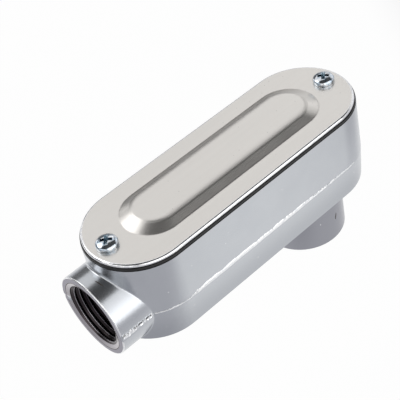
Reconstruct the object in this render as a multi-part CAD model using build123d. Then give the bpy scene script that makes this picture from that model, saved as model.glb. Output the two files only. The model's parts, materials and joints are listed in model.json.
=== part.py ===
from build123d import *
from math import sqrt
import os

# Threaded conduit body of the kind with one hub at its end and one under its far end
# Millimetres, +Z towards the cover, +X along the body, origin at the centre of the end hub's mouth

# Cover, as stamped from sheet
cover_length = 103.5
cover_width = 34.8
cover_thickness = 1.1
cover_edge_chamfer = 0.35
field_length = 77.7
field_width = 21.1
field_height = 1.9
field_end_slope = 4.5
field_side_slope = 3.5
field_top_round = 1.6
field_foot_round = 0.9

# Gasket, cut from rubber sheet
gasket_thickness = 1.0
gasket_bulge = 0.35
gasket_band = 3.3
gasket_end_land = 5.0

# Casting, outside
hub_projection = 6.45
hub_axis_depth = 20.4
hub_diameter = 27.9
hub_face_chamfer = 0.35
back_hub_inset = 23.05
back_hub_depth = 49.9
back_hub_diameter = 28.6
rim_growth = 0.45
parting_growth = 0.65
bottom_growth = 0.0
bottom_near_growth = 0.8
body_depth = 32.3
bottom_chamfer = 0.9
hub_root_round = 0.8
back_hub_root_chamfer = 0.4
hub_runout_start = 3.3
hub_runout_length = 9.0
hub_runout_cover = 1.55
parting_land_width = 0.22
parting_land_height = 0.7

# Casting, inside
wall_thickness = 2.8
floor_thickness = 3.0
core_draft = 0.4
floor_chamfer = 1.4
hub_thread_depth = 12.7
bushing_thickness = 3.0
bushing_lip = 1.1
bore_diameter = 21.3
bushing_diameter = 15.4
mouth_chamfer_depth = 0.45
mouth_chamfer_width = 1.4
passage_diameter = 22.4
passage_ramp = 1.0

# Screws, pan head with a cross recess, and their holes
screw_inset = 5.75
screw_diameter = 3.4
screw_grip = 6.35
head_diameter = 6.9
head_height = 2.4
head_side_height = 1.3
head_shoulder_inset = 1.25
head_shoulder_drop = 0.3
near_screw_turn = 0.0
far_screw_turn = 40.0
recess_span = 4.3
recess_slot = 1.15
recess_depth = 1.7
recess_draft = 16.0
boss_diameter = 6.8
boss_to_bushing_face = 0.1
tapped_clearance = 0.1
tapped_spare_depth = 0.9
cover_hole_clearance = 0.35
gasket_hole_clearance = 0.25

# How near an edge must lie to a level to count as on it
level_slack = 0.001

# Levels and places worked out from the sizes above
cover_top = hub_axis_depth
cover_under = cover_top - cover_thickness
rim_level = cover_under - gasket_thickness
bottom_level = cover_top - body_depth
floor_level = bottom_level + floor_thickness
back_mouth_level = cover_top - back_hub_depth
cover_near_x = hub_projection
cover_mid_x = cover_near_x + cover_length / 2
cover_far_x = cover_near_x + cover_length
near_screw_x = cover_near_x + screw_inset
far_screw_x = cover_far_x - screw_inset
back_hub_x = cover_far_x - back_hub_inset
hub_inner_end = near_screw_x + boss_diameter / 2 + boss_to_bushing_face
hub_radius = hub_diameter / 2
bore_radius = bore_diameter / 2
bushing_radius = bushing_diameter / 2
tapped_radius = screw_diameter / 2 + tapped_clearance
tapped_depth = screw_grip - cover_thickness - gasket_thickness + tapped_spare_depth


def obround(near_x, far_x, width, level):
    """Flat face with half-round ends, at one level."""
    outline = SlotOverall(far_x - near_x, width)
    return Pos((near_x + far_x) / 2, 0, level) * outline


def grown(growth, level, near_growth=None):
    """The cover's outline, grown outwards by one distance."""
    near = growth if near_growth is None else near_growth
    width = cover_width + 2 * growth
    return obround(cover_near_x - near, cover_far_x + growth, width, level)


def raised_field(base_level):
    """The solid under the cover's raised field, with sloping sides."""
    near = cover_mid_x - field_length / 2
    far = cover_mid_x + field_length / 2
    foot = obround(near, far, field_width, base_level)
    top_width = field_width - 2 * field_side_slope
    top = obround(near + field_end_slope, far - field_end_slope, top_width, base_level + field_height)
    return loft([foot, top], ruled=True)


def edges_at(part, level):
    """The edges that lie whole at one level."""
    return part.edges().filter_by_position(Axis.Z, level - level_slack, level + level_slack)


def edges_within(part, level, width):
    """The edges at one level that keep within a width about the middle."""
    half = width / 2 + level_slack
    return edges_at(part, level).filter_by(lambda edge: abs(edge.bounding_box().max.Y) <= half)


def upright_cylinder(radius, x, low, high):
    """A cylinder along Z between two levels."""
    return Pos(x, 0, (low + high) / 2) * Cylinder(radius, high - low)


def laid_level(solid, near_x, far_x):
    """Turns an upright round solid to lie along X on the end hub's axis, its seam on the parting plane."""
    return Pos((near_x + far_x) / 2, 0, 0) * Rot(90, 0, 0) * Rot(0, 90, 0) * solid


def level_cylinder(radius, near_x, far_x):
    """A cylinder along X on the end hub's axis."""
    return laid_level(Cylinder(radius, far_x - near_x), near_x, far_x)


def make_end_hub():
    """The end hub, which runs out in a cone some way past the place where its sides meet the wall."""
    wall_radius = cover_width / 2 + parting_growth
    wall_centre_x = cover_near_x + cover_width / 2
    side_meets_wall_x = wall_centre_x - sqrt(wall_radius**2 - hub_radius**2)
    runout_x = side_meets_wall_x + hub_runout_start
    hub = level_cylinder(hub_radius, 0, runout_x)
    hub = chamfer(hub.edges().sort_by(Axis.X)[0], hub_face_chamfer)
    runout = Cone(hub_radius, -bottom_level - hub_runout_cover, hub_runout_length)
    return hub + laid_level(runout, runout_x, runout_x + hub_runout_length)


def make_half(shell, side):
    """What one die half shapes: a drafted shell and its side of the end hub, with a rounded root."""
    hub = split(make_end_hub(), Plane.XY, keep=side)
    half = shell + hub
    return fillet(new_edges(shell, hub, combined=half), hub_root_round)


def make_outside():
    """The casting's outer form: two die halves and the back hub."""
    parting = grown(parting_growth, 0)
    upper = loft([parting, grown(rim_growth, rim_level)], ruled=True)
    lower = loft([parting, grown(bottom_growth, bottom_level, bottom_near_growth)], ruled=True)
    lower = chamfer(edges_at(lower, bottom_level), bottom_chamfer)
    outside = make_half(upper, Keep.TOP) + make_half(lower, Keep.BOTTOM)
    back_hub = upright_cylinder(back_hub_diameter / 2, back_hub_x, back_mouth_level, floor_level)
    back_hub = chamfer(back_hub.edges().sort_by(Axis.Z)[0], hub_face_chamfer)
    both = outside + back_hub
    return chamfer(new_edges(outside, back_hub, combined=both), back_hub_root_chamfer)


def make_parting_land():
    """The trimmed land that stands proud where the two die halves met."""
    half = parting_land_height / 2
    outline = grown(parting_growth + parting_land_width, -half)
    land = extrude(outline, parting_land_height)
    side = hub_radius + parting_land_width
    strip = Pos(near_screw_x / 2 + hub_face_chamfer, 0, 0) * Box(near_screw_x, 2 * side, parting_land_height)
    return land + strip


def make_cavity():
    """The space inside the casting, less the end hub's inner block and the two screw bosses."""
    top = grown(rim_growth - wall_thickness, rim_level)
    low = grown(rim_growth - wall_thickness - core_draft, floor_level)
    cavity = loft([top, low], ruled=True)
    cavity = chamfer(edges_at(cavity, floor_level), floor_chamfer)
    depth = -floor_level
    block = level_cylinder(hub_radius, 0, hub_inner_end)
    block += Pos(hub_inner_end / 2, 0, -depth / 2) * Box(hub_inner_end, 2 * hub_radius, depth)
    cavity -= block
    for x, wall_x in ((near_screw_x, cover_near_x), (far_screw_x, cover_far_x)):
        boss = upright_cylinder(boss_diameter / 2, x, floor_level, rim_level)
        web_length = abs(x - wall_x)
        web = Pos((x + wall_x) / 2, 0, (floor_level + rim_level) / 2)
        boss += web * Box(web_length, boss_diameter, rim_level - floor_level)
        cavity -= boss
    return cavity


def make_hub_bore():
    """The end hub's tapping bore, its mouth chamfer and the smooth bushing behind the thread."""
    inner = hub_inner_end
    profile = Polyline(
        (0, 0),
        (0, bore_radius + mouth_chamfer_width),
        (mouth_chamfer_depth, bore_radius),
        (hub_thread_depth, bore_radius),
        (hub_thread_depth, bushing_radius),
        (inner - bushing_lip, bushing_radius),
        (inner, bushing_radius + bushing_lip),
        (inner, 0),
        (0, 0),
    )
    return revolve(make_face(profile), Axis.X)


def make_back_bore():
    """The back hub's tapping bore, bushing and the flared passage up into the chamber."""
    mouth = back_mouth_level
    thread_end = mouth + hub_thread_depth
    lip_top = thread_end + bushing_thickness
    passage_radius = passage_diameter / 2
    profile = Polyline(
        (0, mouth),
        (bore_radius + mouth_chamfer_width, mouth),
        (bore_radius, mouth + mouth_chamfer_depth),
        (bore_radius, thread_end),
        (bushing_radius, thread_end),
        (bushing_radius, lip_top - bushing_lip),
        (bushing_radius + bushing_lip, lip_top),
        (passage_radius, lip_top + passage_ramp),
        (passage_radius, floor_level),
        (0, floor_level),
        (0, mouth),
    )
    face = Plane.XZ * make_face(profile)
    return Pos(back_hub_x, 0, 0) * revolve(face, Axis.Z)


def make_casting():
    """The whole die casting, bored and tapped."""
    casting = make_outside() + make_parting_land()
    casting -= make_cavity()
    casting -= make_hub_bore()
    casting -= make_back_bore()
    for x in (near_screw_x, far_screw_x):
        casting -= upright_cylinder(tapped_radius, x, rim_level - tapped_depth, rim_level)
    return casting


def make_gasket():
    """The gasket: the rim's outline with an open middle and two screw holes."""
    gasket = extrude(grown(gasket_bulge, rim_level), gasket_thickness)
    near = near_screw_x + gasket_end_land
    far = far_screw_x - gasket_end_land
    window = obround(near, far, cover_width - 2 * gasket_band, rim_level)
    gasket -= extrude(window, gasket_thickness)
    hole_radius = screw_diameter / 2 + gasket_hole_clearance
    for x in (near_screw_x, far_screw_x):
        gasket -= upright_cylinder(hole_radius, x, rim_level, cover_under)
    return gasket


def make_cover():
    """The stamped cover: a flat rim, a raised field hollow beneath, and two screw holes."""
    plate = extrude(grown(0, cover_under), cover_thickness)
    plate = chamfer(edges_at(plate, cover_top), cover_edge_chamfer)
    field = raised_field(cover_top)
    field = fillet(edges_at(field, cover_top + field_height), field_top_round)
    cover = plate + field
    cover = fillet(edges_within(cover, cover_top, field_width), field_foot_round)
    cover -= raised_field(cover_under)
    hole_radius = screw_diameter / 2 + cover_hole_clearance
    for x in (near_screw_x, far_screw_x):
        cover -= upright_cylinder(hole_radius, x, cover_under, cover_top)
    return cover


def make_screw(x, turn):
    """A pan-head machine screw with a cross recess, seated on the cover and left at one angle."""
    head_radius = head_diameter / 2
    shank_radius = screw_diameter / 2
    tip = cover_top - screw_grip
    crown = cover_top + head_height
    profile = Polyline(
        (0, crown),
        (0, tip),
        (shank_radius, tip),
        (shank_radius, cover_top),
        (head_radius, cover_top),
        (head_radius, cover_top + head_side_height),
        (head_radius - head_shoulder_inset, crown - head_shoulder_drop),
        (0, crown),
    )
    face = Plane.XZ * make_face(profile)
    screw = revolve(face, Axis.Z)
    wing = Pos(0, 0, crown) * Rectangle(recess_span, recess_slot)
    arms = extrude(wing, -recess_depth, taper=recess_draft)
    arms += Rot(0, 0, 90) * arms
    screw -= arms
    return Pos(x, 0, 0) * Rot(0, 0, turn) * screw


def main():
    """Builds every piece and writes one file for each."""
    os.makedirs("parts", exist_ok=True)
    pieces = {
        "body_casting": make_casting(),
        "cover_gasket": make_gasket(),
        "cover": make_cover(),
        "cover_screw_hub_end": make_screw(near_screw_x, near_screw_turn),
        "cover_screw_far_end": make_screw(far_screw_x, far_screw_turn),
    }
    for name, piece in pieces.items():
        export_step(piece, f"parts/{name}.step")
        print(name, round(piece.volume, 1))


main()
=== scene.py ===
import json
import random
from math import cos, pi, radians, sin, sqrt

import bpy
from mathutils import Matrix, Vector


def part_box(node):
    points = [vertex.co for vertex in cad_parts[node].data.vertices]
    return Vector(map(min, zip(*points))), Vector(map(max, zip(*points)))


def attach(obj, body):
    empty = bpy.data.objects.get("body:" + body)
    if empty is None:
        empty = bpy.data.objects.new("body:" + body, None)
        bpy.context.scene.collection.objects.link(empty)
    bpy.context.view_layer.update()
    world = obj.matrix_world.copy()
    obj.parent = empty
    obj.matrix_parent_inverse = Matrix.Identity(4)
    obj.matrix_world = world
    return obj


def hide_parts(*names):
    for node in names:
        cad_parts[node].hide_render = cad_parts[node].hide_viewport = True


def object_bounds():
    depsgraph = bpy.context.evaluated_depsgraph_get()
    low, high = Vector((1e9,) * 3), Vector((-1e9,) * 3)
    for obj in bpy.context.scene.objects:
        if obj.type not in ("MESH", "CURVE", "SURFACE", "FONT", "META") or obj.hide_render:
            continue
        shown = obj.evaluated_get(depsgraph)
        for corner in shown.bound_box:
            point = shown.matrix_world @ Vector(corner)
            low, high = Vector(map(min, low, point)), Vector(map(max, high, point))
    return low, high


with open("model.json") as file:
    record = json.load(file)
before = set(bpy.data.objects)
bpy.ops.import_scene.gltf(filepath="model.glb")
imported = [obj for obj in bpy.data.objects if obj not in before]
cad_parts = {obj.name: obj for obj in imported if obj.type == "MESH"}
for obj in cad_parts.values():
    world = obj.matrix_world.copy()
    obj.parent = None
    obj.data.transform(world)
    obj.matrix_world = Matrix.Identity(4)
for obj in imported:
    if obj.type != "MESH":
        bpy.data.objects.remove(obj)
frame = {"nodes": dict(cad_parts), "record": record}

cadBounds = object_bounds()
mounts = {mount["name"]: Vector(mount["pos_m"]) for mount in frame["record"]["mounts"]}
mm = 0.001
weldGap = 0.002 * mm  # vertices closer than this are one
cutGap = 0.0001 * mm  # a cut goes through vertices this close to it
flatWithin = radians(0.4)  # faces that turn less than this from each other are one flat place
print("frame loaded")


# Working in Blender: choosing what the next operator acts on

def objectMode():
    bpy.ops.object.mode_set(mode="OBJECT")


def deselectAll():
    if bpy.context.mode != "OBJECT":
        objectMode()
    bpy.ops.object.select_all(action="DESELECT")


def makeActive(piece):
    deselectAll()
    piece.select_set(True)
    bpy.context.view_layer.objects.active = piece


def pick(piece, kind, test):
    # leaves the piece in edit mode with only the verts, edges or faces that pass the test
    makeActive(piece)
    bpy.ops.object.mode_set(mode="EDIT")
    bpy.ops.mesh.select_mode(type=kind)
    bpy.ops.mesh.select_all(action="DESELECT")
    objectMode()
    mesh = piece.data
    items = {"VERT": mesh.vertices, "EDGE": mesh.edges, "FACE": mesh.polygons}[kind]
    for item in items:
        item.select = test(item)
    bpy.ops.object.mode_set(mode="EDIT")


def allSelected(piece):
    makeActive(piece)
    bpy.ops.object.mode_set(mode="EDIT")
    bpy.ops.mesh.select_mode(type="VERT")
    bpy.ops.mesh.select_all(action="SELECT")


def weld(piece, gap=weldGap):
    allSelected(piece)
    bpy.ops.mesh.remove_doubles(threshold=gap)
    objectMode()


def turnOutward(piece):
    allSelected(piece)
    bpy.ops.mesh.normals_make_consistent(inside=False)
    objectMode()


def applyModifier(piece, kind, **settings):
    makeActive(piece)
    modifier = piece.modifiers.new(kind.title(), kind)
    for name, value in settings.items():
        setattr(modifier, name, value)
    bpy.ops.object.modifier_apply(modifier=modifier.name)


def settle(piece):
    # an object's place goes into its mesh
    makeActive(piece)
    bpy.ops.object.transform_apply(location=True, rotation=True, scale=True)


def smooth(piece, angle=32):
    makeActive(piece)
    bpy.ops.object.shade_smooth_by_angle(angle=radians(angle))
    applyModifier(piece, "WEIGHTED_NORMAL", keep_sharp=True, weight=80)


def copyOfNode(nodeName, pieceName):
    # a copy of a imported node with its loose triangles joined, and flat places made one face again
    mesh = frame["nodes"][nodeName].data.copy()
    mesh.materials.clear()
    piece = bpy.data.objects.new(pieceName, mesh)
    bpy.context.scene.collection.objects.link(piece)
    makeActive(piece)
    if mesh.has_custom_normals:
        bpy.ops.mesh.customdata_custom_splitnormals_clear()
    allSelected(piece)
    bpy.ops.mesh.remove_doubles(threshold=weldGap)
    bpy.ops.mesh.dissolve_limited(angle_limit=flatWithin)
    objectMode()
    return piece


def finishPiece(piece, material, slotName, *nodeNames):
    piece.data.materials.append(material)
    if nodeNames:
        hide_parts(*nodeNames)
    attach(piece, "root")
    return piece


def roundEdges(piece, width, segments, angle):
    applyModifier(
        piece, "BEVEL", width=width * mm, segments=segments,
        limit_method="ANGLE", angle_limit=radians(angle), use_clamp_overlap=True,
    )


def fromSpine(place, near, far):
    # an outline of two half circles joined by straight sides has a spine between its two centres: how far a
    # place lies from the spine, and how far past the spine's end it is
    pastEnd = place.x - min(max(place.x, near), far)
    return sqrt(pastEnd ** 2 + place.y ** 2), pastEnd


# Colours and shader nodes

def hexColour(code):
    # an sRGB hex value as the linear colour that shaders take
    channels = [int(code[i:i + 2], 16) / 255 for i in (1, 3, 5)]
    linear = [c / 12.92 if c <= 0.04045 else ((c + 0.055) / 1.055) ** 2.4 for c in channels]
    return (*linear, 1.0)


def addNode(tree, kind, settings=None, links=None):
    node = tree.nodes.new(kind)
    for name, value in (settings or {}).items():
        if isinstance(name, int) or name in node.inputs:
            node.inputs[name].default_value = value
        else:
            setattr(node, name, value)
    for name, source in (links or {}).items():
        tree.links.new(source, node.inputs[name])
    return node


def newMaterial(name):
    material = bpy.data.materials.new(name)
    material.use_nodes = True
    material.node_tree.nodes.clear()
    return material, material.node_tree


def endMaterial(tree, tone, height, relief, strength, roughness, metallic=1.0):
    # what every finish ends with: a fine relief, so many mm high, and the surface that takes its colour
    bump = addNode(
        tree, "ShaderNodeBump", {"Strength": strength, "Distance": relief * mm}, {"Height": height},
    )
    shader = addNode(
        tree, "ShaderNodeBsdfPrincipled", {"Metallic": metallic, "Roughness": roughness},
        {"Base Color": tone, "Normal": bump.outputs["Normal"]},
    )
    addNode(tree, "ShaderNodeOutputMaterial", None, {"Surface": shader.outputs["BSDF"]})
    return shader


def perMetre(sizeInMm):
    # texture scale for a pattern whose features are about this large
    return 1 / (sizeInMm * mm)


def paintFaces(piece, material, test):
    # the faces that pass the test get a finish of their own
    piece.data.materials.append(material)
    pick(piece, "FACE", test)
    piece.active_material_index = len(piece.data.materials) - 1
    bpy.ops.object.material_slot_assign()
    objectMode()


def addSpecks(tree, spot, tone, skin):
    # small round spots of another colour, scattered over a skin
    spacing, size = skin["speckSpacing"], skin["speckSize"]
    cells = addNode(tree, "ShaderNodeTexVoronoi", {"Scale": perMetre(spacing)}, {"Vector": spot})
    speck = addNode(
        tree, "ShaderNodeMapRange", {"From Min": size / spacing, "From Max": size / spacing / 2},
        {"Value": cells.outputs["Distance"]},
    )
    return addNode(
        tree, "ShaderNodeMix", {"data_type": "RGBA", 7: hexColour(skin["speckColour"])},
        {"Factor": speck.outputs[0], 6: tone.outputs[2]},
    )


castSkin = {
    "colour": "#CBCED2",
    "darkColour": "#C1C4C9",
    "roughness": 0.24,
    "paintedShadeLowTints": ((1.0, -10.0, "#B4B7BC"), (-10.7, -12.2, "#95969D")),
    "mottleSize": 9.0,
    "grainSize": 0.55,
    "grainHeight": 0.016,
    "speckSpacing": 4.0,
    "speckSize": 0.2,
    "speckColour": "#FFFFFF",
}


def makeCastSkin():
    # die-cast aluminium alloy, tumbled and lacquered: a cool satin grey with a soft, slightly pebbled shine,
    # a few bright pinholes, and painted shade that darkens the skin towards the bottom and the low hub
    material, tree = newMaterial("dieCastAluminiumSatin")
    spot = addNode(tree, "ShaderNodeTexCoord").outputs["Object"]
    mottle = addNode(
        tree, "ShaderNodeTexNoise", {"Scale": perMetre(castSkin["mottleSize"]), "Detail": 3.0},
        {"Vector": spot},
    )
    tone = addNode(
        tree, "ShaderNodeMix",
        {"data_type": "RGBA", 6: hexColour(castSkin["darkColour"]), 7: hexColour(castSkin["colour"])},
        {"Factor": mottle.outputs["Fac"]},
    )
    parts = addNode(tree, "ShaderNodeSeparateXYZ", None, {"Vector": spot})
    # painted shade: the casting's colour darkens below these levels, towards the bottom and the low hub
    for top, bottom, tint in castSkin["paintedShadeLowTints"]:
        low = addNode(
            tree, "ShaderNodeMapRange",
            {"interpolation_type": "SMOOTHSTEP", "From Min": top * mm, "From Max": bottom * mm},
            {"Value": parts.outputs["Z"]},
        )
        tone = addNode(
            tree, "ShaderNodeMix", {"data_type": "RGBA", 7: hexColour(tint)},
            {"Factor": low.outputs[0], 6: tone.outputs[2]},
        )
    tone = addSpecks(tree, spot, tone, castSkin)
    grain = addNode(
        tree, "ShaderNodeTexNoise", {"Scale": perMetre(castSkin["grainSize"]), "Detail": 2.0},
        {"Vector": spot},
    )
    endMaterial(
        tree, tone.outputs[2], grain.outputs["Fac"], relief=castSkin["grainHeight"], strength=0.5,
        roughness=castSkin["roughness"],
    )
    return material


turnedFinish = {
    # painted shade: the face's turned metal is coloured much darker than the metal is
    "faceShadeColour": "#827F8C",
    "bandColour": "#B9B5B9",
    "markTint": 0.82,
    "roughness": 0.2,
    "markSpacing": 0.5,
    "markHeight": 0.006,
}


def makeTurned(name, colour, axis, centre):
    # aluminium faced off in a lathe: fine rings round the hub's axis in a cool, slightly lilac shine
    material, tree = newMaterial(name)
    place = addNode(tree, "ShaderNodeTexCoord")
    centred = addNode(
        tree, "ShaderNodeVectorMath", {"operation": "SUBTRACT", 1: centre}, {0: place.outputs["Object"]},
    )
    # the tool's marks are really about 0.1 mm apart, and are drawn wider so that they show; pi / 10 is what
    # a wave texture needs to have one ring in each unit
    scale = pi / 10 * perMetre(turnedFinish["markSpacing"])
    rings = addNode(
        tree, "ShaderNodeTexWave",
        {
            "wave_type": "RINGS", "rings_direction": axis, "Scale": scale,
            "Distortion": 0.6, "Detail": 2.0, "Detail Scale": 3.0,
        },
        {"Vector": centred.outputs["Vector"]},
    )
    light = Vector(hexColour(colour)[:3])
    tone = addNode(
        tree, "ShaderNodeMix",
        {"data_type": "RGBA", 6: (*(light * turnedFinish["markTint"]), 1), 7: (*light, 1)},
        {"Factor": rings.outputs["Fac"]},
    )
    endMaterial(
        tree, tone.outputs[2], rings.outputs["Fac"], relief=turnedFinish["markHeight"], strength=0.6,
        roughness=turnedFinish["roughness"],
    )
    return material


threadFinish = {
    "crestColour": "#DCDADF",
    "rootOilAndShadeColour": "#4C4648",
    "crestFrom": 0.86,
    "crestSlack": 0.04,
    "deepPaintedShade": "#6E6A70",
    "deepShadeAt": 5.0,
    "roughness": 0.26,
    "chatterSize": 0.5,
    "chatterHeight": 0.005,
}


def makeThreadCut(name, axis, mouth, root, crest, taper):
    # aluminium chased by a taper tap: bright, burnished crests over roots darkened partly by cutting oil and
    # partly by painted shade, with painted shade that darkens the thread deeper inside the hub
    material, tree = newMaterial(name)
    place = addNode(tree, "ShaderNodeTexCoord")
    centred = addNode(
        tree, "ShaderNodeVectorMath", {"operation": "SUBTRACT", 1: mouth}, {0: place.outputs["Object"]},
    )
    along = addNode(
        tree, "ShaderNodeVectorMath", {"operation": "DOT_PRODUCT", 1: axis * taper},
        {0: centred.outputs["Vector"]},
    )
    across = addNode(
        tree, "ShaderNodeVectorMath", {"operation": "MULTIPLY", 1: Vector((1, 1, 1)) - axis},
        {0: centred.outputs["Vector"]},
    )
    radius = addNode(tree, "ShaderNodeVectorMath", {"operation": "LENGTH"}, {0: across.outputs["Vector"]})
    untapered = addNode(
        tree, "ShaderNodeMath", {"operation": "ADD"}, {0: radius.outputs["Value"], 1: along.outputs["Value"]},
    )
    level = addNode(
        tree, "ShaderNodeMapRange",
        {
            "interpolation_type": "SMOOTHSTEP",
            "From Min": (root + (crest - root) * threadFinish["crestFrom"]) * mm,
            "From Max": (crest + threadFinish["crestSlack"]) * mm,
        },
        {"Value": untapered.outputs[0]},
    )
    # the roots are darker partly for cutting oil and partly as painted shade
    dark, light = hexColour(threadFinish["rootOilAndShadeColour"]), hexColour(threadFinish["crestColour"])
    tone = addNode(
        tree, "ShaderNodeMix", {"data_type": "RGBA", 6: dark, 7: light}, {"Factor": level.outputs[0]},
    )
    # painted shade: the thread's colour darkens the deeper it lies inside the hub
    depth = addNode(
        tree, "ShaderNodeMapRange", {"From Max": threadFinish["deepShadeAt"] * taper * mm},
        {"Value": along.outputs["Value"]},
    )
    shade = addNode(
        tree, "ShaderNodeMix",
        {"data_type": "RGBA", 6: (1, 1, 1, 1), 7: hexColour(threadFinish["deepPaintedShade"])},
        {"Factor": depth.outputs[0]},
    )
    tone = addNode(
        tree, "ShaderNodeMix", {"data_type": "RGBA", "blend_type": "MULTIPLY", 0: 1.0},
        {6: tone.outputs[2], 7: shade.outputs[2]},
    )
    chatter = addNode(
        tree, "ShaderNodeTexNoise", {"Scale": perMetre(threadFinish["chatterSize"]), "Detail": 2.0},
        {"Vector": centred.outputs["Vector"]},
    )
    endMaterial(
        tree, tone.outputs[2], chatter.outputs["Fac"], relief=threadFinish["chatterHeight"], strength=0.3,
        roughness=threadFinish["roughness"],
    )
    return material


coverSkin = {
    "colour": "#E2DFDB",
    "darkColour": "#DFDCD8",
    "lowRoughness": 0.29,
    "highRoughness": 0.32,
    "rollingSize": (30.0, 1.6, 1.6),
    "wipeSize": 14.0,
    "grainSize": 0.5,
    "grainHeight": 0.022,
    "speckSpacing": 2.6,
    "speckSize": 0.16,
    "speckColour": "#A9A7A6",
}


def makeCoverSkin():
    # cold-rolled steel sheet with a dull plated finish: warm grey with faint rolling lines, cloudy wipe marks
    # and fine pits
    material, tree = newMaterial("platedSteelSheetSatin")
    spot = addNode(tree, "ShaderNodeTexCoord").outputs["Object"]
    stretched = addNode(
        tree, "ShaderNodeMapping", {"Scale": [perMetre(size) for size in coverSkin["rollingSize"]]},
        {"Vector": spot},
    )
    rolling = addNode(
        tree, "ShaderNodeTexNoise", {"Scale": 1.0, "Detail": 3.0}, {"Vector": stretched.outputs["Vector"]},
    )
    wipes = addNode(
        tree, "ShaderNodeTexNoise",
        {"Scale": perMetre(coverSkin["wipeSize"]), "Detail": 4.0, "Distortion": 0.4},
        {"Vector": spot},
    )
    both = addNode(
        tree, "ShaderNodeMath", {"operation": "MULTIPLY"},
        {0: rolling.outputs["Fac"], 1: wipes.outputs["Fac"]},
    )
    cloud = addNode(
        tree, "ShaderNodeMapRange", {"From Min": 0.12, "From Max": 0.42}, {"Value": both.outputs[0]},
    )
    tone = addNode(
        tree, "ShaderNodeMix",
        {"data_type": "RGBA", 6: hexColour(coverSkin["darkColour"]), 7: hexColour(coverSkin["colour"])},
        {"Factor": cloud.outputs[0]},
    )
    tone = addSpecks(tree, spot, tone, coverSkin)
    low, high = coverSkin["lowRoughness"], coverSkin["highRoughness"]
    roughness = addNode(
        tree, "ShaderNodeMapRange", {"From Min": 0.3, "From Max": 0.7, "To Min": low, "To Max": high},
        {"Value": wipes.outputs["Fac"]},
    )
    grain = addNode(
        tree, "ShaderNodeTexNoise", {"Scale": perMetre(coverSkin["grainSize"]), "Detail": 2.0},
        {"Vector": spot},
    )
    shader = endMaterial(
        tree, tone.outputs[2], grain.outputs["Fac"], relief=coverSkin["grainHeight"], strength=0.5,
        roughness=low,
    )
    tree.links.new(roughness.outputs[0], shader.inputs["Roughness"])
    return material


# Finishes that differ only in a few values: two colours that a noise mixes, the noise's size, metallic,
# roughness, and the size and height of a fine grain
mixedFinishes = {
    "rimSteelPaintedHighlight": ("#E4E5EA", "#FFFFFF", 1.2, 1.0, 0.16, 0.4, 0.006),
    "syntheticRubberSheet": ("#040404", "#100F0F", 1.5, 0.0, 0.4, 0.4, 0.03),
    "zincPlatedBright": ("#AEBECD", "#EEF0F4", 1.1, 1.0, 0.13, 0.8, 0.03),
    "zincPlatedRecessPaintedShade": ("#40606F", "#C4D4DF", 0.5, 1.0, 0.2, 0.4, 0.05),
    "tornFlashAndPaintedHighlight": ("#E8EAED", "#FFFFFF", 0.8, 1.0, 0.3, 0.5, 0.008),
    "scoredAluminiumAndPaintedShade": ("#3A3430", "#6E645C", 0.5, 1.0, 0.5, 0.3, 0.02),
}


def makeMixed(name):
    dark, light, patchSize, metallic, roughness, grainSize, grainHeight = mixedFinishes[name]
    material, tree = newMaterial(name)
    spot = addNode(tree, "ShaderNodeTexCoord").outputs["Object"]
    patches = addNode(
        tree, "ShaderNodeTexNoise", {"Scale": perMetre(patchSize), "Detail": 3.0}, {"Vector": spot},
    )
    share = addNode(
        tree, "ShaderNodeMapRange", {"From Min": 0.35, "From Max": 0.65}, {"Value": patches.outputs["Fac"]},
    )
    tone = addNode(
        tree, "ShaderNodeMix", {"data_type": "RGBA", 6: hexColour(dark), 7: hexColour(light)},
        {"Factor": share.outputs[0]},
    )
    grain = addNode(
        tree, "ShaderNodeTexNoise", {"Scale": perMetre(grainSize), "Detail": 2.0}, {"Vector": spot},
    )
    endMaterial(
        tree, tone.outputs[2], grain.outputs["Fac"], relief=grainHeight, strength=0.6,
        roughness=roughness, metallic=metallic,
    )
    return material


# for each hub: its axis, pointing into the mouth, that axis's letter, and the mouth's centre
hubs = {
    "End": (Vector((1, 0, 0)), "X", mounts["end_hub"]),
    "Back": (Vector((0, 0, 1)), "Z", mounts["back_hub"]),
}
castMaterial = makeCastSkin()
coverMaterial = makeCoverSkin()
rimHighlightMaterial = makeMixed("rimSteelPaintedHighlight")  # a painted highlight: the white line round the cover's rolled rim
gasketMaterial = makeMixed("syntheticRubberSheet")  # black and dull, with a trace of talc
screwMaterial = makeMixed("zincPlatedBright")  # a blue-white mirror, rippled by the heading die
recessShadeMaterial = makeMixed("zincPlatedRecessPaintedShade")  # the same plating painted darker in the recess as painted shade, mottled with light patches as painted glints
flashAndHighlightMaterial = makeMixed("tornFlashAndPaintedHighlight")  # freshly torn or knocked metal: white and sparkling; also a painted highlight on the hub mouths' outer chamfer
scoreAndShadeMaterial = makeMixed("scoredAluminiumAndPaintedShade")  # scratches and brown dirt in scored metal, and painted shade: the dark line inside the hub mouths and the flash's undersides
print("materials made")


# The casting

castingShape = {
    "wallRadius": 18.05,
    "hubRadius": 13.95,
    "nearCentre": 23.85,
    "farCentre": 92.55,
    "placeSlack": 0.03,
    "landWidth": 0.22,
    "landHeight": 0.7,
    "landWeld": 0.01,
    "carveLevels": (1.0, 7.0),
    "carveBand": (0.2, 1.01),
    "carveReach": 0.3,
    "carveDepth": 0.3,
    "carveStart": 25.0,
    "carveFull": 31.0,
    "carveLeft": 0.2,
    "edgeRound": 0.11,
    "roundSegments": 3,
    "mouthEdges": ((13.95, 0.35), (13.6, 0.0), (12.05, 0.0), (10.65, 0.45)),
    "mouthDepth": 0.5,
    "mouthSlack": 0.02,
    "bandRadius": 11.94,
    "shadowLineRadius": 12.16,
    "chamferRadius": 13.62,
}


def castingSizes(*names):
    return [castingShape[name] * mm for name in names]


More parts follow.
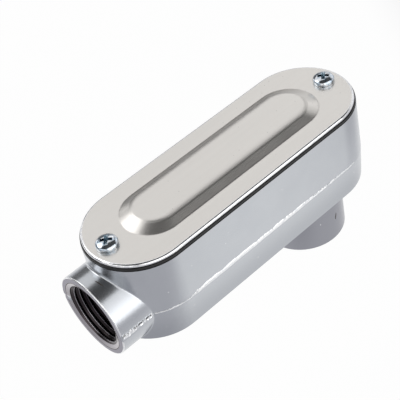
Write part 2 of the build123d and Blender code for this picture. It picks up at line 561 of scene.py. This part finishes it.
def trimLand(piece):
    # the land that the CAD model has all along the parting plane shrinks into the wall and the hub's sides
    wall, hub, near, far = castingSizes("wallRadius", "hubRadius", "nearCentre", "farCentre")
    land, height, slack, gap = castingSizes("landWidth", "landHeight", "placeSlack", "landWeld")
    for vertex in piece.data.vertices:
        if abs(vertex.co.z) > height / 2 + slack:
            continue
        reach, pastEnd = fromSpine(vertex.co, near, far)
        if reach - wall > land - slack:
            share = (reach - land) / reach
            vertex.co.x -= pastEnd * (1 - share)
            vertex.co.y *= share
        elif vertex.co.x < near and abs(abs(vertex.co.y) - hub - land) < slack:
            vertex.co.y *= hub / abs(vertex.co.y)
    weld(piece, gap)


def carveWalls(piece):
    # above the parting plane the straight walls stand back a little, so the flash has room inside the CAD box
    wall, near, far, within = castingSizes("wallRadius", "nearCentre", "farCentre", "carveReach")
    start, full, most = castingSizes("carveStart", "carveFull", "carveDepth")
    for level in castingShape["carveLevels"]:
        pick(piece, "FACE", lambda face: face.center.x > near)
        bpy.ops.mesh.bisect(plane_co=(0, 0, level * mm), plane_no=(0, 0, 1), threshold=cutGap)
    objectMode()
    lowest, highest = (level * mm for level in castingShape["carveBand"])
    for vertex in piece.data.vertices:
        along, side, level = vertex.co
        onWall = abs(fromSpine(vertex.co, near, far)[0] - wall) < within
        if onWall and lowest < level < highest and start < along <= far:
            fadeIn = (along - start) / (full - start)
            fadeOut = (far - along) / (full - start) + castingShape["carveLeft"]
            vertex.co.y -= most * min(1, fadeIn, fadeOut) * (1 if side > 0 else -1)


def fromMouth(place, axis, mouth):
    # how deep inside a hub's mouth a place lies, and how far from the hub's axis
    offset = place - mouth
    depth = offset.dot(axis)
    return depth, (offset - axis * depth).length


def roundRing(piece, axis, mouth, radius, depth):
    # rounds only the edges that lie on one ring of a hub's mouth
    corners = piece.data.vertices
    width, slack = castingSizes("edgeRound", "placeSlack")

    def onRing(edge):
        spots = [fromMouth(corners[end].co, axis, mouth) for end in edge.vertices]
        return all(abs(spot[0] - depth) < slack and abs(spot[1] - radius) < slack for spot in spots)

    pick(piece, "EDGE", onRing)
    segments = castingShape["roundSegments"]
    bpy.ops.mesh.bevel(offset=width, segments=segments, affect="EDGES", clamp_overlap=False)
    objectMode()


def paintMouth(piece, axis, mouth, faceMaterial, bandMaterial):
    # a hub's flat face and the cone inside it are turned metal, the face darkened as painted shade, with a
    # painted shadow line between them, and a painted highlight on the face's outer edge
    corners = piece.data.vertices
    deepest, hub, slack = castingSizes("mouthDepth", "hubRadius", "mouthSlack")
    band, line, chamfer = castingSizes("bandRadius", "shadowLineRadius", "chamferRadius")
    widest = hub + slack

    def between(inner, outer):
        def test(face):
            spots = [fromMouth(corners[end].co, axis, mouth) for end in face.vertices]
            middle = sum(radius for depth, radius in spots) / len(spots)
            atMouth = all(depth < deepest and radius < widest for depth, radius in spots)
            return atMouth and inner < middle <= outer

        return test

    paintFaces(piece, faceMaterial, between(band, widest))
    # painted highlight: the face's outer chamfer takes the bright flash finish
    paintFaces(piece, flashAndHighlightMaterial, between(chamfer, widest))
    paintFaces(piece, bandMaterial, between(0, band))
    # painted shadow: a dark line where the face meets the cone
    paintFaces(piece, scoreAndShadeMaterial, between(band, line))


def makeCasting():
    piece = copyOfNode("body_casting", "castingBody")
    trimLand(piece)
    carveWalls(piece)
    for axis, letter, mouth in hubs.values():
        for radius, depth in castingShape["mouthEdges"]:
            roundRing(piece, axis, mouth, radius * mm, depth * mm)
    smooth(piece)
    finishPiece(piece, castMaterial, "cast_aluminium", "body_casting")
    for hubName, (axis, letter, mouth) in hubs.items():
        # the face's colour is darkened as painted shade; the cone keeps a plainer turned-metal tone
        face = makeTurned(f"turnedAluminium{hubName}Face", turnedFinish["faceShadeColour"], letter, mouth)
        band = makeTurned(f"turnedAluminium{hubName}Cone", turnedFinish["bandColour"], letter, mouth)
        paintMouth(piece, axis, mouth, face, band)
    return piece


castingBody = makeCasting()
print("casting made", len(castingBody.data.polygons))


# The flash that the two die halves leave along the parting plane, on the box's wall and on the end hub

flashShape = {
    # the rows are the ridge's section, from its top to its foot: how far out and how high
    "wall": {
        "rows": ((-0.3, 1.2), (0.42, 0.7), (0.2, 0.46), (0.46, 0.14), (0.34, -0.06), (-0.3, -0.28)),
        "step": 0.4,
        "span": (11.8, 96.6),
        "roughness": 0.3,
    },
    "hub": {
        "rows": ((-0.2, 0.95), (0.46, 0.6), (0.66, 0.05), (0.42, -0.3), (-0.2, -0.38)),
        "step": 0.36,
        "span": (0.5, 11.8),
        "roughness": 0.7,
    },
    "boxMargin": 0.008,
    "thickness": 0.12,
    "wallLevel": 0.6,
    "fadeOut": 36.0,
    "thinShare": 0.4,
    "nearCurveShare": 0.22,
    "bumpAt": 26.0,
    "bumpLength": 0.7,
    "bumpHeight": 0.8,
    "firstReach": 0.85,
    "reachRange": (0.75, 1.0),
    "heightRange": (0.75, 1.35),
    "sizeStep": 0.5,
    "mostWander": 0.25,
    "wanderStep": 0.2,
    "wanderKept": 0.6,
    "tornReach": 0.35,
    "tornShare": 0.12,
    "undersideFacing": -0.55,
}


def tearFlash(kind, columns, seed):
    # how far out, how high and how tall the ridge is at each column, each wandering by chance from the last
    dice = random.Random(seed)
    roughness = flashShape[kind]["roughness"]
    leastReach, mostReach = flashShape["reachRange"]
    leastHeight, mostHeight = flashShape["heightRange"]
    sizeStep, wanderStep, most = (flashShape[name] for name in ("sizeStep", "wanderStep", "mostWander"))
    reach, wander, height = flashShape["firstReach"], 0.0, 1.0
    shapes = []
    for column in range(columns + 1):
        reach = min(mostReach, max(leastReach, reach + dice.uniform(-1, 1) * roughness * sizeStep))
        wander = wander * flashShape["wanderKept"] + dice.uniform(-1, 1) * roughness * wanderStep
        wander = min(most, max(-most, wander))
        height = min(mostHeight, max(leastHeight, height + dice.uniform(-1, 1) * roughness * sizeStep))
        torn = dice.random() < roughness * flashShape["tornShare"] and kind == "hub"
        shapes.append((flashShape["tornReach"] if torn else reach, wander, height))
    return shapes


def wallPlace(along, side):
    # a place on the body's outline for a distance along it, counted as X on the straight side: the point, the
    # way out, the room outside it, how much of the flash is there and how much taller it is
    radius, near, far = (castingShape[name] for name in ("wallRadius", "nearCentre", "farCentre"))
    widest = cadBounds[1][1] / mm - flashShape["boxMargin"]
    share = min(1, (flashShape["wall"]["span"][1] - along) / flashShape["fadeOut"])
    if along < flashShape["bumpAt"]:
        share = flashShape["nearCurveShare"]
    fromBump = (along - flashShape["bumpAt"]) / flashShape["bumpLength"]
    taller = flashShape["bumpHeight"] / (1 + fromBump * fromBump)
    if near <= along <= far:
        # the straight side stands back by an amount that varies, so it is found by looking at it from outside
        outside = Vector((along, -side * 2 * radius, flashShape["wallLevel"])) * mm
        wallY = castingBody.ray_cast(outside, (0, side, 0))[1].y / mm
        return (along, wallY), (0, -side), widest - abs(wallY), share, taller
    centre = near if along < near else far
    turn = (along - centre) / radius
    out = (sin(turn), -cos(turn) * side)
    return (centre + out[0] * radius, out[1] * radius), out, widest - radius, share, taller


def hubPlace(along, side):
    # the same on the end hub's side, which is straight and has room enough
    return (along, -side * castingShape["hubRadius"]), (0, -side), castingShape["hubRadius"], 1, 0


def makeFlash(name, kind, side, seed):
    # a ragged little ridge: one grid, its rows the ridge's section and its columns along the parting line
    rows, (start, end) = flashShape[kind]["rows"], flashShape[kind]["span"]
    columns = int((end - start) / flashShape[kind]["step"])
    shapes = tearFlash(kind, columns, seed)
    placeAt = {"wall": wallPlace, "hub": hubPlace}[kind]
    deselectAll()
    bpy.ops.mesh.primitive_grid_add(x_subdivisions=columns, y_subdivisions=len(rows) - 1, size=1)
    piece = bpy.context.object
    piece.name = name
    for vertex in piece.data.vertices:
        column = round((vertex.co.x + 0.5) * columns)
        row = round((0.5 - vertex.co.y) * (len(rows) - 1))
        reach, wander, height = shapes[column]
        (x, y), (outX, outY), room, share, taller = placeAt(start + (end - start) * column / columns, side)
        out, level = rows[row]
        if out > 0:
            out = min(out * reach * share, room)
        thin = flashShape["thinShare"]
        level = level * (height + taller) * (thin + (1 - thin) * share) + wander * share
        vertex.co = Vector((x + outX * out, y + outY * out, level)) * mm
    applyModifier(piece, "SOLIDIFY", thickness=flashShape["thickness"] * mm, offset=-side)
    turnOutward(piece)
    finishPiece(piece, flashAndHighlightMaterial, "cast_aluminium")
    # painted shade: the torn edge's underside is coloured dark
    paintFaces(piece, scoreAndShadeMaterial, lambda face: face.normal.z < flashShape["undersideFacing"])
    return piece


makeFlash("wallFlashFront", "wall", side=1, seed=11)
makeFlash("wallFlashBack", "wall", side=-1, seed=12)
makeFlash("hubFlashFront", "hub", side=1, seed=5)
makeFlash("hubFlashBack", "hub", side=-1, seed=6)
print("parting flash made")


# The threads in the two hubs

hubThread = {
    "threadsPerInch": 14,
    "rootRadius": 10.61,
    "crestRadius": 10.02,
    "crestFlat": 0.18,
    "rootFlat": 0.1,
    "crestAtTop": 0.18,
    "taper": 1 / 32,
    "mouthDepth": 0.45,
    "mouthRadius": 10.65,
    "leadIn": 4.0,
    "depth": 12.7,
    "buriedRadius": 10.9,
    "steps": 96,
    "spareTurns": 2,
    "weld": 0.004,
    "endSlack": 0.0003,
}


def threadRidge(name):
    # one ridge's outline along X, screwed round the hub's axis and cut off square at both ends
    pitch = 25.4 / hubThread["threadsPerInch"]
    root, crest, spare = (hubThread[size] for size in ("rootRadius", "crestRadius", "spareTurns"))
    rootFlat, crestFlat = hubThread["rootFlat"], hubThread["crestFlat"]
    flank = (pitch - crestFlat - rootFlat) / 2
    start = hubThread["crestAtTop"] - crestFlat / 2 - flank - rootFlat - spare * pitch
    deselectAll()
    bpy.ops.mesh.primitive_plane_add(size=0.1 * mm, location=(0, 0, 0))
    piece = bpy.context.object
    piece.name = name
    allSelected(piece)
    bpy.ops.mesh.merge(type="CENTER")
    bpy.ops.transform.translate(value=(start * mm, 0, root * mm))
    for along, outward in ((rootFlat, 0), (flank, crest - root), (crestFlat, 0), (flank, root - crest)):
        bpy.ops.mesh.extrude_vertices_move(TRANSFORM_OT_translate={"value": (along * mm, 0, outward * mm)})
    objectMode()
    settle(piece)
    applyModifier(
        piece, "SCREW", axis="X", angle=2 * pi, screw_offset=pitch * mm,
        iterations=int(hubThread["depth"] / pitch) + 2 * spare,
        steps=hubThread["steps"], render_steps=hubThread["steps"],
        use_merge_vertices=True, merge_threshold=weldGap / 2,
    )
    weld(piece, hubThread["weld"] * mm)
    for depth, cleared in (("mouthDepth", "clear_inner"), ("depth", "clear_outer")):
        allSelected(piece)
        endX = hubThread[depth] * mm
        bpy.ops.mesh.bisect(plane_co=(endX, 0, 0), plane_no=(1, 0, 0), threshold=cutGap, **{cleared: True})
    objectMode()
    return piece


def setRadius(vertex, radius):
    share = radius / sqrt(vertex.co.y ** 2 + vertex.co.z ** 2)
    vertex.co.y *= share
    vertex.co.z *= share


def makeThread(name, material, turn, mouth):
    # the ridge narrows inwards as a taper thread does, and is closed by a skin buried in the hub
    piece = threadRidge(name)
    nearEnd, farEnd, widest = (hubThread[size] * mm for size in ("mouthDepth", "depth", "buriedRadius"))
    for vertex in piece.data.vertices:
        along, radius = vertex.co.x, sqrt(vertex.co.y ** 2 + vertex.co.z ** 2)
        leadIn = hubThread["mouthRadius"] * mm - (along - nearEnd) * hubThread["leadIn"]
        setRadius(vertex, max(radius - along * hubThread["taper"], leadIn))
    slack = hubThread["endSlack"] * mm
    for endX in (nearEnd, farEnd):
        pick(piece, "VERT", lambda vertex: abs(vertex.co.x - endX) < slack)
        bpy.ops.mesh.select_mode(type="EDGE")
        bpy.ops.mesh.extrude_edges_move()
        objectMode()
        for vertex in piece.data.vertices:
            if vertex.select:
                setRadius(vertex, widest)
    pick(piece, "VERT", lambda vertex: sqrt(vertex.co.y ** 2 + vertex.co.z ** 2) > widest - slack)
    bpy.ops.mesh.select_mode(type="EDGE")
    bpy.ops.mesh.bridge_edge_loops()
    weld(piece, hubThread["weld"] * mm)
    turnOutward(piece)
    piece.rotation_euler = (0, turn, 0)
    piece.location = mouth
    settle(piece)
    smooth(piece, angle=28)
    return finishPiece(piece, material, "cast_aluminium")


for hubName, turn in (("End", 0), ("Back", -pi / 2)):
    axis, letter, mouth = hubs[hubName]
    root, crest, taper = (hubThread[size] for size in ("rootRadius", "crestRadius", "taper"))
    threadMaterial = makeThreadCut(f"tappedAluminium{hubName}Thread", axis, mouth, root, crest, taper)
    makeThread(f"{hubName.lower()}HubThread", threadMaterial, turn, mouth)
print("threads made")


# Old scratches in the casting: for each its hub, its two ends, the hub's radius there and the scratch's width

scratches = {
    "endHubScratch": ("End", (3.77, -2.13, 13.79), (4.33, -4.89, 13.07), 13.95, 0.22),
    "backHubScratch": ("Back", (89.27, -14.1, -19.28), (88.63, -14.2, -21.54), 14.3, 0.3),
}
scratchShape = {
    "depth": 0.1,
    "proud": 0.012,
    "steps": 12,
    "tip": 0.08,
}


def makeScratch(name):
    # a sliver of scored metal that follows the hub's round, widest at its middle
    hubName, first, last, radius, width = scratches[name]
    axis, letter, mouth = hubs[hubName]
    first, last, centre = Vector(first), Vector(last), mouth / mm
    deselectAll()
    bpy.ops.mesh.primitive_grid_add(x_subdivisions=scratchShape["steps"], y_subdivisions=2, size=1)
    piece = bpy.context.object
    piece.name = name
    runsAlong = abs((last - first).normalized().dot(axis)) >= 0.7
    sideways = axis.cross(first - centre).normalized() if runsAlong else axis
    tip = scratchShape["tip"]
    for vertex in piece.data.vertices:
        along, side = vertex.co.x + 0.5, vertex.co.y
        spot = first.lerp(last, along) + sideways * side * width * sin(pi * (tip + (1 - 2 * tip) * along))
        offset = spot - centre
        onAxis = axis * offset.dot(axis)
        vertex.co = (centre + onAxis + (offset - onAxis).normalized() * (radius + scratchShape["proud"])) * mm
    applyModifier(piece, "SOLIDIFY", thickness=scratchShape["depth"] * mm, offset=0)
    turnOutward(piece)
    return finishPiece(piece, scoreAndShadeMaterial, "cast_aluminium")


for name in scratches:
    makeScratch(name)
print("scratches made")


# The cover and its gasket

coverShape = {
    "thickness": 1.1,
    "chamfer": 0.35,
    "placeSlack": 0.02,
    "rimRound": 0.75,
    "rimSegments": 6,
    "edgeRound": 0.14,
    "fieldRadius": 10.55,
    "fieldNear": 29.9,
    "fieldFar": 86.5,
    # the field's section has a tight foot, a slope and a wide shoulder. Each place says how far in it is at
    # the sides and at the ends, how high, and how steep at the sides
    "fieldKnots": (
        (-0.12, -0.14, 0.0, 0.0), (0.44, 0.62, 0.19, 0.61), (2.38, 3.5, 1.375, 0.61),
        (3.04, 4.14, 1.63, 0.25), (5.3, 5.2, 1.9, 0.0),
    ),
    "fieldSteps": (4, 1, 4, 6),
}
gasketShape = {"edgeRound": 0.3}


def rimOffset(place, low, high):
    # how far inside the cover's outline a place lies
    radius = (high.y - low.y) / 2
    return radius - fromSpine(place, low.x + radius, high.x - radius)[0]


def fieldRings():
    # the section's places, with a cubic between each two that keeps the steepness given at both
    knots = coverShape["fieldKnots"]
    rings = [knots[0][:3]]
    for first, last, steps in zip(knots, knots[1:], coverShape["fieldSteps"]):
        for step in range(1, steps + 1):
            t = step / steps
            side, end = (first[i] + (last[i] - first[i]) * t for i in (0, 1))
            ease = t * t * (3 - 2 * t)
            swing = (last[0] - first[0]) * t * (1 - t) * (first[3] * (1 - t) - last[3] * t)
            rings.append((side, end, first[2] * (1 - ease) + last[2] * ease + swing))
    return rings


def raiseField(piece, top):
    # the field's upper side is taken off and drawn up again ring by ring
    pick(piece, "FACE", lambda face: face.normal.z > 0 and face.center.z > top + weldGap)
    bpy.ops.mesh.delete(type="FACE")
    bpy.ops.mesh.select_mode(type="EDGE")
    bpy.ops.mesh.select_non_manifold(
        extend=False, use_wire=False, use_multi_face=False, use_non_contiguous=False,
    )
    near, far, radius = (coverShape[name] * mm for name in ("fieldNear", "fieldFar", "fieldRadius"))
    middle, half = (near + far) / 2, (far - near) / 2
    before = half
    for side, end, height in fieldRings():
        bpy.ops.mesh.extrude_edges_move()
        objectMode()
        turning = half - (end - side) * mm
        for vertex in piece.data.vertices:
            if vertex.select:
                along = vertex.co.x - middle
                past = max(abs(along) - before, 0) * (1 if along > 0 else -1)
                out = Vector((past, vertex.co.y, 0)).normalized() * (radius - side * mm)
                straight = along - past
                if past:
                    straight += (turning - before) * (1 if past > 0 else -1)
                vertex.co = (middle + straight + out.x, out.y, top + height * mm)
        before = turning
        bpy.ops.object.mode_set(mode="EDIT")
    bpy.ops.mesh.edge_face_add()
    weld(piece, weldGap / 2)


def makeCover():
    piece = copyOfNode("cover", "coverPlate")
    low, high = (Vector(corner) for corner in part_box("cover"))
    top = low.z + coverShape["thickness"] * mm
    chamfer, slack, rim = (coverShape[name] * mm for name in ("chamfer", "placeSlack", "rimRound"))
    corners = piece.data.vertices

    def onRim(place, height):
        return abs(place.z - height) < slack and rimOffset(place, low, high) < slack

    # the chamfered rim is squared up, then rolled over with a round as a stamped edge is
    pick(piece, "VERT", lambda vertex: onRim(vertex.co, top - chamfer))
    bpy.ops.transform.translate(value=(0, 0, chamfer))
    bpy.ops.mesh.select_all(action="SELECT")
    bpy.ops.mesh.dissolve_limited(angle_limit=flatWithin)
    objectMode()
    pick(piece, "EDGE", lambda edge: all(onRim(corners[end].co, top) for end in edge.vertices))
    bpy.ops.mesh.bevel(offset=rim, segments=coverShape["rimSegments"], affect="EDGES")
    objectMode()
    raiseField(piece, top)
    roundEdges(piece, coverShape["edgeRound"], segments=3, angle=35)
    smooth(piece)
    finishPiece(piece, coverMaterial, "cover_steel", "cover")
    # painted highlight: the rolled rim's faces take a white finish
    paintFaces(
        piece, rimHighlightMaterial, lambda face: rimOffset(face.center, low, high) < rim and face.normal.z > -0.5,
    )
    return piece


def makeGasket():
    piece = copyOfNode("cover_gasket", "gasketSheet")
    roundEdges(piece, gasketShape["edgeRound"], segments=4, angle=60)
    smooth(piece)
    return finishPiece(piece, gasketMaterial, "gasket_rubber", "cover_gasket")


makeCover()
makeGasket()
print("cover and gasket made")


# The cover screws

screwShape = {
    "shankRadius": 1.7,
    "tipShare": 0.8,
    "tipHeight": 0.3,
    "sideHeight": 0.95,
    "seatRound": 0.18,
    "topShare": 0.04,
    "recessSpan": 4.3,
    "recessSlot": 1.2,
    "recessDepth": 1.75,
    "recessLift": 0.4,
    "wingTaper": (0.55, 0.8),
    "coreRadius": 0.95,
    "coreTaper": 0.45,
    "coreDeeper": 1.02,
    "coreSegments": 24,
    "recessEdge": 0.55,
    "edgeRound": 0.07,
    "segments": 72,
    "domeRings": 9,
}


def ringSolid(name, rings, segments):
    # a round solid made from rings of (radius, height), each extruded from the last
    radius, height = rings[0]
    deselectAll()
    bpy.ops.mesh.primitive_circle_add(
        vertices=segments, radius=radius, fill_type="NGON", location=(0, 0, height),
    )
    piece = bpy.context.object
    piece.name = name
    settle(piece)
    bpy.ops.object.mode_set(mode="EDIT")
    bpy.ops.mesh.select_mode(type="FACE")
    bpy.ops.mesh.select_all(action="SELECT")
    for nextRadius, nextHeight in rings[1:]:
        bpy.ops.mesh.extrude_region_move(TRANSFORM_OT_translate={"value": (0, 0, nextHeight - height)})
        share = nextRadius / radius
        bpy.ops.transform.resize(value=(share, share, 1), center_override=(0, 0, nextHeight))
        radius, height = nextRadius, nextHeight
    turnOutward(piece)
    return piece


def makeRecess(top):
    # the cross that the driver fits: two tapered wings and a blunt cone between them
    sizes = ("recessSpan", "recessSlot", "recessDepth", "recessLift", "coreRadius")
    span, slot, depth, lift, core = (screwShape[name] * mm for name in sizes)
    cutters = []
    for turn in (0, pi / 2):
        deselectAll()
        bpy.ops.mesh.primitive_cube_add(size=1, location=(0, 0, top + (lift - depth) / 2))
        wing = bpy.context.object
        wing.scale = (span, slot, depth + lift)
        settle(wing)
        pick(wing, "FACE", lambda face: face.normal.z < -0.5)
        bpy.ops.transform.resize(value=(*screwShape["wingTaper"], 1), center_override=(0, 0, top - depth))
        objectMode()
        wing.rotation_euler = (0, 0, turn)
        settle(wing)
        cutters.append(wing)
    coreRings = [(core * screwShape["coreTaper"], top - depth * screwShape["coreDeeper"]), (core, top + lift)]
    cutters.append(ringSolid("recessCore", coreRings, screwShape["coreSegments"]))
    first = cutters[0]
    for other in cutters[1:]:
        applyModifier(first, "BOOLEAN", operation="UNION", object=other, solver="EXACT")
        bpy.data.objects.remove(other)
    return first


def screwRings(tip, seat, top, headRadius):
    # the screw's outline from its tip to the top of its head
    names = ("shankRadius", "tipHeight", "seatRound")
    shank, tipHeight, seatRound = (screwShape[name] * mm for name in names)
    sideTop = seat + screwShape["sideHeight"] * mm
    rings = [
        (shank * screwShape["tipShare"], tip), (shank, tip + tipHeight), (shank, seat),
        (headRadius - seatRound, seat), (headRadius, seat + seatRound), (headRadius, sideTop),
    ]
    for step in range(1, screwShape["domeRings"]):
        angle = step / screwShape["domeRings"] * pi / 2
        rings.append((headRadius * cos(angle), sideTop + (top - sideTop) * sin(angle)))
    rings.append((headRadius * screwShape["topShare"], top))
    return rings


def makeScrew(nodeName, pieceName, turn):
    low, high = (Vector(corner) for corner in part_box(nodeName))
    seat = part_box("cover")[0][2] + coverShape["thickness"] * mm
    middle = (low.x + high.x) / 2
    piece = ringSolid(pieceName, screwRings(low.z, seat, high.z, high.x - middle), screwShape["segments"])
    recess = makeRecess(high.z)
    applyModifier(piece, "BOOLEAN", operation="DIFFERENCE", object=recess, solver="EXACT")
    bpy.data.objects.remove(recess)
    roundEdges(piece, screwShape["edgeRound"], segments=2, angle=30)
    weld(piece)
    piece.rotation_euler = (0, 0, radians(turn))
    piece.location = (middle, 0, 0)
    settle(piece)
    smooth(piece, angle=40)
    finishPiece(piece, screwMaterial, "zinc_plated_screw", nodeName)
    span, edge = (screwShape[name] * mm for name in ("recessSpan", "recessEdge"))

    def inRecess(face):
        fromAxis = sqrt((face.center.x - middle) ** 2 + face.center.y ** 2)
        deep = face.center.z < high.z - edge or face.normal.z < 0.7
        return fromAxis < span / 2 and face.center.z > seat and deep

    # painted shade: the recess's faces take a darker copy of the plating, with painted glints
    paintFaces(piece, recessShadeMaterial, inRecess)
    return piece


makeScrew("cover_screw_hub_end", "screwHubEnd", turn=49)
makeScrew("cover_screw_far_end", "screwFarEnd", turn=42)
print("screws made")


# Floor, world, lamps and camera

studio = {
    "floorDrop": 60.5,
    "floorSize": 6000.0,
    # painted shade: the floor's grey outside the painted pool of light
    "floorShadeTone": "#C9C9CD",
    "glowShare": 0.96,
    # two patches of white make a painted pool of light: for each its edges, as a place on the edge and the
    # way out
    "paintedPools": (
        ((-17, -8, -0.85, -0.53), (168, -99, 0.84, -0.543), (168, 385, 0.4, 0.917)),
        ((-17, -8, -0.85, -0.53), (200, -99, 0.97, 0.24), (0, -78, 0, 1)),
    ),
    "paintedPoolSoftness": 46.0,
    "horizonLevel": 0.82,
    "overheadLevel": 0.07,
    "darkSideLevel": 0.16,
    "brightSide": (0.6, -0.8, 0.0),
    "darkSideEnds": (-0.42, 0.12),
    "overheadEnds": (0.18, 0.72),
    "softboxDistance": 900.0,
    "softboxAim": (58.0, 0.0, 0.0),
    # the way out as x and y, the elevation in degrees, the length, the width and the level
    "softboxes": {
        "frontSoftbox": (0.0, -1.0, 28.6, 1400.0, 1105.0, 1.14),
        "rearSoftbox": (0.08, 1.0, 49.0, 1640.0, 660.0, 0.85),
        "rightSoftbox": (1.0, 0.1, 30.0, 500.0, 420.0, 0.55),
        "hubEndSoftbox": (-0.55, 0.84, 41.0, 600.0, 600.0, 1.15),
        "lowRearSoftbox": (-0.12, 0.99, 11.0, 320.0, 280.0, 1.2),
        "leftSoftbox": (-1.0, -0.07, 23.0, 900.0, 480.0, 1.1),
    },
}


def paintedPoolOfLight(tree, spot):
    # how much of the painted pool of light there is at a place on the floor: all of it well inside a patch,
    # none well outside
    softness = studio["paintedPoolSoftness"]
    pool = None
    for edges in studio["paintedPools"]:
        patch = None
        for x, y, outX, outY in edges:
            inward = addNode(
                tree, "ShaderNodeVectorMath", {"operation": "DOT_PRODUCT", 1: (-outX, -outY, 0)}, {0: spot},
            )
            edgeAt = -outX * x - outY * y
            edge = addNode(
                tree, "ShaderNodeMapRange",
                {
                    "interpolation_type": "SMOOTHSTEP",
                    "From Min": (edgeAt - softness) * mm, "From Max": (edgeAt + softness) * mm,
                },
                {"Value": inward.outputs["Value"]},
            )
            patch = edge if patch is None else addNode(
                tree, "ShaderNodeMath", {"operation": "MULTIPLY"}, {0: patch.outputs[0], 1: edge.outputs[0]},
            )
        pool = patch if pool is None else addNode(
            tree, "ShaderNodeMath", {"operation": "MAXIMUM"}, {0: pool.outputs[0], 1: patch.outputs[0]},
        )
    return pool.outputs[0]


def makeFloor():
    # a pale floor with a painted white pool of light under the object, as wide as the picture, and painted
    # grey shade outside it
    material, tree = newMaterial("paleFloor")
    spot = addNode(tree, "ShaderNodeTexCoord").outputs["Object"]
    tone = addNode(
        tree, "ShaderNodeMix", {"data_type": "RGBA", 6: hexColour(studio["floorShadeTone"]), 7: (1, 1, 1, 1)},
        {"Factor": paintedPoolOfLight(tree, spot)},
    )
    rays = addNode(tree, "ShaderNodeLightPath")
    seen = rays.outputs["Is Camera Ray"]
    for ray in ("Is Glossy Ray", "Is Transmission Ray"):
        seen = addNode(
            tree, "ShaderNodeMath", {"operation": "MAXIMUM"}, {0: seen, 1: rays.outputs[ray]},
        ).outputs[0]
    share = addNode(tree, "ShaderNodeMath", {"operation": "MULTIPLY", 1: studio["glowShare"]}, {0: seen})
    paint = addNode(tree, "ShaderNodeBsdfDiffuse", None, {"Color": tone.outputs[2]})
    glow = addNode(tree, "ShaderNodeEmission", {"Strength": 1.0}, {"Color": tone.outputs[2]})
    both = addNode(
        tree, "ShaderNodeMixShader", None, {"Fac": share.outputs[0], 1: paint.outputs[0], 2: glow.outputs[0]},
    )
    addNode(tree, "ShaderNodeOutputMaterial", None, {"Surface": both.outputs[0]})
    low = cadBounds[0][2] - studio["floorDrop"] * mm
    deselectAll()
    bpy.ops.mesh.primitive_plane_add(size=studio["floorSize"] * mm, location=(0, 0, low))
    floor = bpy.context.object
    floor.name = "floor"
    settle(floor)
    floor.data.materials.append(material)
    return floor


def makeWorld():
    # a studio with a dark ceiling between the softboxes, pale in front and to the right, dark elsewhere
    world = bpy.data.worlds.new("studio")
    bpy.context.scene.world = world
    world.use_nodes = True
    tree = world.node_tree
    tree.nodes.clear()
    direction = addNode(tree, "ShaderNodeTexCoord").outputs["Generated"]
    parts = addNode(tree, "ShaderNodeSeparateXYZ", None, {"Vector": direction})
    towardsLight = addNode(
        tree, "ShaderNodeVectorMath", {"operation": "DOT_PRODUCT", 1: studio["brightSide"]}, {0: direction},
    )
    darkEnd, brightEnd = studio["darkSideEnds"]
    side = addNode(
        tree, "ShaderNodeMapRange",
        {
            "interpolation_type": "SMOOTHSTEP", "From Min": darkEnd, "From Max": brightEnd,
            "To Min": studio["darkSideLevel"], "To Max": studio["horizonLevel"],
        },
        {"Value": towardsLight.outputs["Value"]},
    )
    lowEnd, highEnd = studio["overheadEnds"]
    level = addNode(
        tree, "ShaderNodeMapRange",
        {
            "interpolation_type": "SMOOTHSTEP", "From Min": lowEnd, "From Max": highEnd,
            "To Max": studio["overheadLevel"],
        },
        {"Value": parts.outputs["Z"], "To Min": side.outputs[0]},
    )
    room = addNode(tree, "ShaderNodeBackground", {"Color": (1, 1, 1, 1)}, {"Strength": level.outputs[0]})
    addNode(tree, "ShaderNodeOutputWorld", None, {"Surface": room.outputs[0]})


def addSoftbox(name):
    # a softbox on one side of the object, as high as its angle says, turned to face it
    outX, outY, elevation, length, width, level = studio["softboxes"][name]
    light = bpy.data.lights.new(name, "AREA")
    light.shape = "RECTANGLE"
    light.size = length * mm
    light.size_y = width * mm
    light.energy = level * pi * light.size * light.size_y
    lamp = bpy.data.objects.new(name, light)
    bpy.context.scene.collection.objects.link(lamp)
    out = Vector((outX, outY, 0)).normalized() * cos(radians(elevation))
    out.z = sin(radians(elevation))
    lamp.location = (Vector(studio["softboxAim"]) + out * studio["softboxDistance"]) * mm
    lamp.rotation_euler = out.to_track_quat("Z", "Y").to_euler()
    lamp.visible_camera = False
    return lamp


view = {
    "azimuth": -33.861,
    "elevation": 42.239,
    "roll": -13.384,
    "distance": 336.04,
    "aim": (53.125, 9.42, 1.142),
    "focalPixels": 1050.21,
    "framePixels": 400,
    "sensorWidth": 36.0,
}


def makeCamera():
    azimuth, elevation, roll = (radians(view[name]) for name in ("azimuth", "elevation", "roll"))
    back = Vector((sin(azimuth) * cos(elevation), -cos(azimuth) * cos(elevation), sin(elevation)))
    level = Vector((cos(azimuth), sin(azimuth), 0))
    above = back.cross(level)
    right = cos(roll) * level + sin(roll) * above
    up = cos(roll) * above - sin(roll) * level
    data = bpy.data.cameras.new("camera")
    data.sensor_width = view["sensorWidth"]
    data.lens = view["focalPixels"] / view["framePixels"] * view["sensorWidth"]
    data.clip_start = 1 * mm
    camera = bpy.data.objects.new("camera", data)
    bpy.context.scene.collection.objects.link(camera)
    place = (Vector(view["aim"]) + back * view["distance"]) * mm
    camera.matrix_world = Matrix.Translation(place) @ Matrix((right, up, back)).transposed().to_4x4()
    bpy.context.scene.camera = camera
    return camera


makeFloor()
makeWorld()
for name in studio["softboxes"]:
    addSoftbox(name)
makeCamera()
bpy.context.scene.view_settings.view_transform = "Standard"
print("studio and camera made")
